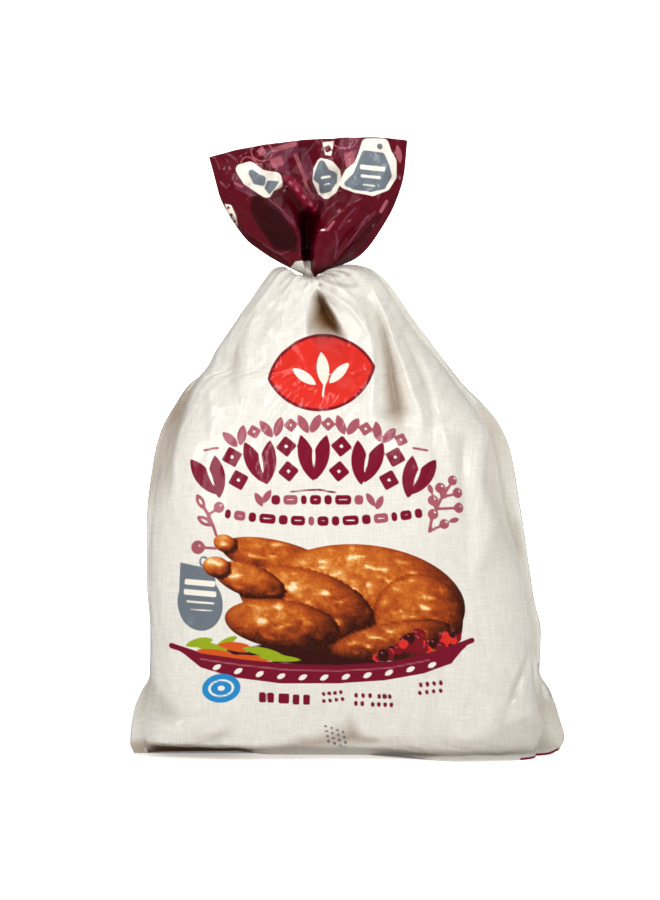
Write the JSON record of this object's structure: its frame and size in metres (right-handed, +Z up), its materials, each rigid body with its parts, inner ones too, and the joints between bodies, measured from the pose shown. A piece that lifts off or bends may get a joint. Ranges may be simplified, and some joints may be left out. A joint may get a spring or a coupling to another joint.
{
  "type": "bagged whole turkey",
  "caption": "Whole turkey in a shut printed film bag that stands upright, gathered at a narrow neck under a flared pleated collar.",
  "frame": {"origin": "centre of the bounding box on the surface that the bag stands on", "axes": "+Z up to the collar, -Y towards the side with the main print, +X to the right of that print"},
  "size_m": [0.346, 0.153, 0.492],
  "materials": {
    "printed_film": "cream polythene film, printed, with a soft gloss and small wrinkles"
  },
  "bodies": {
    "root": {"bag": "printed_film"}
  },
  "joints": []
}
